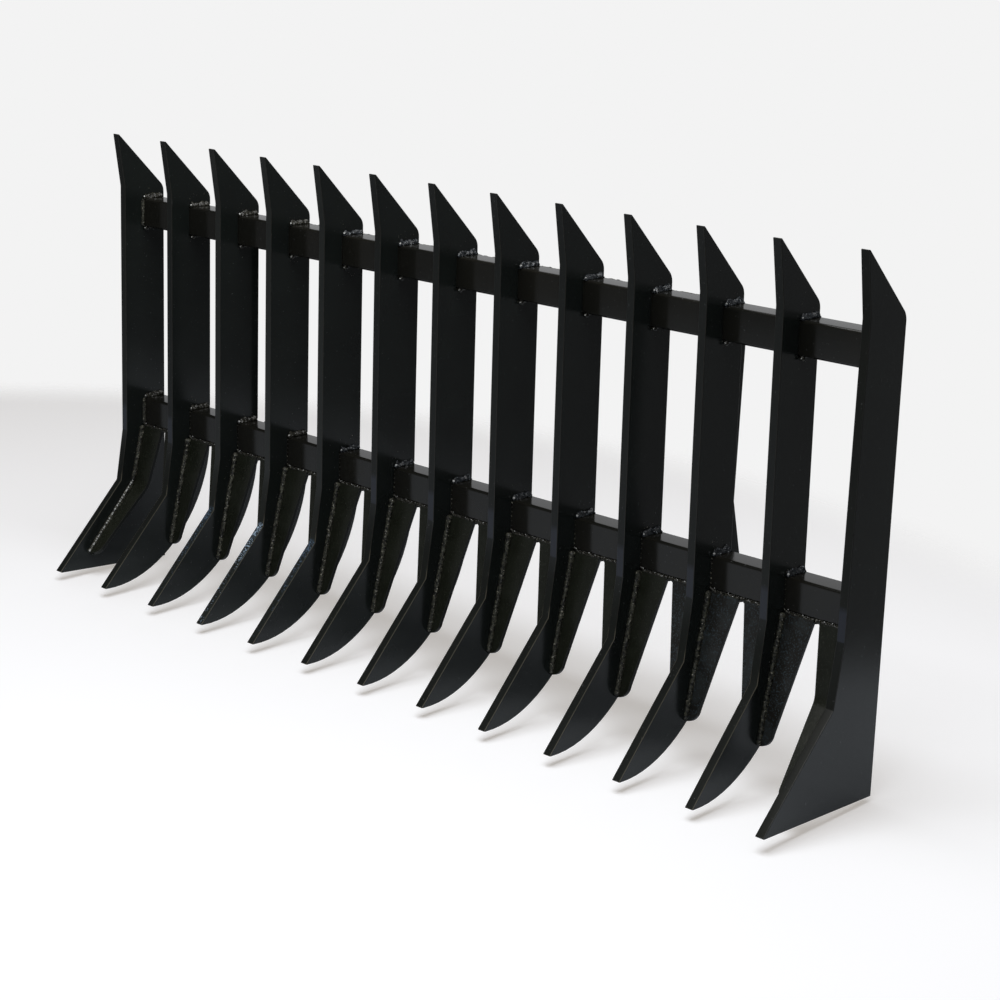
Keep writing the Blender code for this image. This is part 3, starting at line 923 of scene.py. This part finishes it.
@dataclass
class HitchWelds:
    """The beads that hold the hitch plates to the back of the tubes."""

    grid: Grid
    shop: PaintShop
    side_bead: BeadShape = field(default_factory=lambda: BeadShape(leg_mm=6.5))
    long_bead: BeadShape = field(default_factory=lambda: BeadShape(leg_mm=6.5, ripple_mm=6.0, per_ripple=4))
    under_top: float = 14 * MM       # the upper beads start this far under the tube's top, below the lip ...
    over_pocket: float = 26 * MM     # ... and the inner ones end this far over its bottom, for the coupler
    clear: float = 3 * MM            # what the other ends keep to their tube's corners
    end_clear: float = 8 * MM        # what the long beads keep to their plate's ends
    lip_slope: tuple[float, float, float] = (0, 0.707, -0.707)
    shelf_slope: tuple[float, float, float] = (0, 0.85, -0.52)
    first_seed: int = 80

    def build(self) -> list[bpy.types.Object]:
        """Lay them as one piece for each side plate, one for the lip and one for the shelf.

        Returns:
            The four pieces.
        """
        lip = ("hitch_lip", self.grid.upper, self.lip_slope)
        shelf = ("hitch_shelf", self.grid.lower, self.shelf_slope)
        pieces = []
        for number, name in enumerate(("hitch_side_left", "hitch_side_right")):
            pieces.append(self._side_plate(name, self.first_seed + number))
        for number, (name, tube, slope) in enumerate((lip, shelf)):
            pieces.append(self._cross_plate(name, tube, Vector(slope), self.first_seed + 10 + number))
        return pieces

    def _side_plate(self, name: str, seed: int) -> bpy.types.Object:
        """Lay upright beads down a side plate's joints, all but the one that the shelf covers.

        Args:
            name: the side plate's node.
            seed: makes this piece's unevenness its own.

        Returns:
            The new piece.
        """
        weld = WeldMesh("welds_" + name, name, seed)
        box = Box(name)
        upper, lower = self.grid.upper, self.grid.lower
        outward = 1 if box.left > 0 else -1
        joints = [(upper, -1, self.under_top), (upper, 1, self.under_top), (lower, outward, self.clear)]
        for tube, side, drop in joints:
            x = box.left if side < 0 else box.right
            lift = self.over_pocket if tube is upper and side != outward else self.clear
            path = [Vector((x, tube.rear, tube.top - drop)), Vector((x, tube.rear, tube.bottom + lift))]
            weld.bead(path, Vector((side, 0, 0)), Vector((0, 1, 0)), self.side_bead)
        return weld.finish(self.shop, Finish.BEAD)

    def _cross_plate(self, name: str, tube: Box, slope: Vector, seed: int) -> bpy.types.Object:
        """Lay one long bead over a cross plate's front edge, where it meets its tube.

        Args:
            name: the cross plate's node.
            tube: the tube it meets.
            slope: the direction in which the plate falls away from the tube.
            seed: makes this piece's unevenness its own.

        Returns:
            The new piece.
        """
        weld = WeldMesh("welds_" + name, name, seed)
        box = Box(name)
        left, right = box.left + self.end_clear, box.right - self.end_clear
        ends = [Vector((x, tube.rear, box.top)) for x in (left, right)]
        weld.bead(ends, slope, Vector((0, 0, 1)), self.long_bead)
        return weld.finish(self.shop, Finish.BEAD)


# ---- studio -------------------------------------------------------------------------------------
@dataclass(frozen=True)
class Glow:
    """A soft patch of light on the room around the rake."""

    toward: tuple[float, float, float]
    edge: float                      # the cosine from its middle where it starts ...
    full: float                      # ... and where it is full
    strength: float

    def add(self, tree: bpy.types.NodeTree, look: Socket) -> Socket:
        """Add its nodes.

        Args:
            tree: the world's node tree.
            look: the direction looked in.

        Returns:
            How bright the patch is in that direction.
        """
        near = add_node(tree, "ShaderNodeVectorMath", {1: Vector(self.toward).normalized()}, {0: look},
                        operation="DOT_PRODUCT").outputs["Value"]
        return add_node(tree, "ShaderNodeMapRange", ramp(self.edge, self.full, 0.0, self.strength),
                        {"Value": near}, interpolation_type="SMOOTHSTEP").outputs[0]


@dataclass
class Studio:
    """Pale floor, soft light and the camera."""

    camera_spot: tuple[float, float, float] = (2.7817, -2.8503, 1.4704)
    camera_turn_deg: tuple[float, float, float] = (78.018, -1.578, 42.899)
    lens: float = 80.21
    sensor: float = 36.0
    shift_up: float = -0.15
    floor_size: float = 14.0
    floor_centre: tuple[float, float] = (-0.60, -0.90)
    floor_radius: float = 2.45       # the pale floor fades into the backdrop here
    floor_fade: float = 0.16
    floor_colour: str = "#dbe0e7"
    floor_lift: float = 0.38         # makes the floor as pale as the backdrop to the eye ...
    lift_colour: str = "#fff6ec"     # ... and takes the blue out of it again
    backdrop: str = "#f3f3f3"
    room: float = 0.08               # the dim room's own brightness
    room_colour: tuple[float, float, float, float] = (0.97, 0.98, 1.0, 1.0)
    white_wall: Glow = Glow((-0.66, 0.74, 0.13), 0.62, 0.93, 0.50)
    front_fill: Glow = Glow((-0.62, -0.70, -0.35), 0.60, 0.95, 0.10)
    rear_fill: Glow = Glow((0.35, 0.93, -0.10), 0.80, 1.0, 0.09)
    ceiling: Glow = Glow((0.0, 0.0, 1.0), 0.50, 0.95, 0.22)
    lamp_power: float = 96.0
    lamp_size: float = 2.6
    lamp_spot: tuple[float, float, float] = (0.45, -0.9, 3.3)

    def build(self) -> None:
        """Set up everything around the rake."""
        self._floor()
        self._surroundings()
        self._lamp()
        self._camera()
        bpy.context.scene.view_settings.view_transform = "Standard"

    def _floor(self) -> None:
        """Lay a flat pale sheet that fades out round a disc."""
        bpy.ops.mesh.primitive_plane_add(size=self.floor_size, location=(0, 0, 0))
        floor = bpy.context.object
        floor.name = "studio_floor"
        mat = bpy.data.materials.new("pale_paper_floor")
        mat.use_nodes = True
        tree = mat.node_tree
        tree.nodes.clear()
        place = add_node(tree, "ShaderNodeTexCoord").outputs["Object"]
        offset = add_node(tree, "ShaderNodeVectorMath", {1: (*self.floor_centre, 0.0)}, {0: place},
                          operation="SUBTRACT")
        far = add_node(tree, "ShaderNodeVectorMath", links={0: offset.outputs[0]}, operation="LENGTH")
        near, out = self.floor_radius - self.floor_fade, self.floor_radius + self.floor_fade
        rim = add_node(tree, "ShaderNodeMapRange", ramp(near, out), {"Value": far.outputs["Value"]},
                       interpolation_type="SMOOTHSTEP")
        paper = add_node(tree, "ShaderNodeBsdfDiffuse", {"Color": linear(self.floor_colour)})
        eye = add_node(tree, "ShaderNodeLightPath").outputs["Is Camera Ray"]
        lift = add_node(tree, "ShaderNodeMath", {1: self.floor_lift}, {0: eye}, operation="MULTIPLY")
        glow = add_node(tree, "ShaderNodeEmission", {"Color": linear(self.lift_colour)},
                        {"Strength": lift.outputs[0]})
        paper = add_node(tree, "ShaderNodeAddShader", links={0: paper.outputs[0], 1: glow.outputs[0]})
        clear = add_node(tree, "ShaderNodeBsdfTransparent")
        mixed = add_node(tree, "ShaderNodeMixShader", links={0: rim.outputs[0], 1: paper.outputs[0],
                                                             2: clear.outputs[0]})
        add_node(tree, "ShaderNodeOutputMaterial", links={0: mixed.outputs[0]})
        floor.data.materials.append(mat)

    def _surroundings(self) -> None:
        """Make a pale backdrop, and a dim room with a white wall behind and soft light from the front."""
        world = bpy.data.worlds.new("studio")
        bpy.context.scene.world = world
        world.use_nodes = True
        tree = world.node_tree
        tree.nodes.clear()
        look = add_node(tree, "ShaderNodeTexCoord").outputs["Generated"]
        total = self.white_wall.add(tree, look)
        for glow in (self.front_fill, self.rear_fill, self.ceiling):
            total = add_node(tree, "ShaderNodeMath", links={0: total, 1: glow.add(tree, look)},
                             operation="ADD").outputs[0]
        total = add_node(tree, "ShaderNodeMath", {1: self.room}, {0: total}, operation="ADD").outputs[0]
        soft = add_node(tree, "ShaderNodeBackground", {"Color": self.room_colour}, {"Strength": total})
        seen = add_node(tree, "ShaderNodeBackground", {"Color": linear(self.backdrop), "Strength": 1.0})
        eye = add_node(tree, "ShaderNodeLightPath").outputs["Is Camera Ray"]
        mixed = add_node(tree, "ShaderNodeMixShader", links={0: eye, 1: soft.outputs[0], 2: seen.outputs[0]})
        add_node(tree, "ShaderNodeOutputWorld", links={0: mixed.outputs[0]})

    def _lamp(self) -> None:
        """Hang one large softbox overhead."""
        data = bpy.data.lights.new("softbox", "AREA")
        data.shape = "SQUARE"
        data.size = self.lamp_size
        data.energy = self.lamp_power
        lamp = bpy.data.objects.new("softbox", data)
        lamp.location = self.lamp_spot
        bpy.context.scene.collection.objects.link(lamp)

    def _camera(self) -> None:
        """Set up a long lens in front of the rake's right-hand end, a little above it."""
        data = bpy.data.cameras.new("camera")
        data.lens = self.lens
        data.sensor_width = self.sensor
        data.shift_y = self.shift_up
        camera = bpy.data.objects.new("camera", data)
        camera.location = self.camera_spot
        camera.rotation_euler = Euler([math.radians(a) for a in self.camera_turn_deg])
        bpy.context.scene.collection.objects.link(camera)
        bpy.context.scene.camera = camera


def main() -> None:
    logging.basicConfig(level=logging.INFO, format="%(message)s")
    grid, shop = Grid(), PaintShop()
    PlateWork(grid, shop).build()
    faces = [(plate, side) for plate in grid.PLATES for side in grid.sides(plate)]
    for seed, (plate, side) in enumerate(faces, start=FIRST_SEED):
        piece = TineWelds(grid, shop, plate, side, seed).build()
        log.info("weld beads %s", piece.name)
    log.info("weld webs %s", SeamWebs(grid, shop).build().name)
    for piece in HitchWelds(grid, shop).build():
        log.info("hitch beads %s", piece.name)
    Studio().build()


if __name__ == "__main__":
    main()
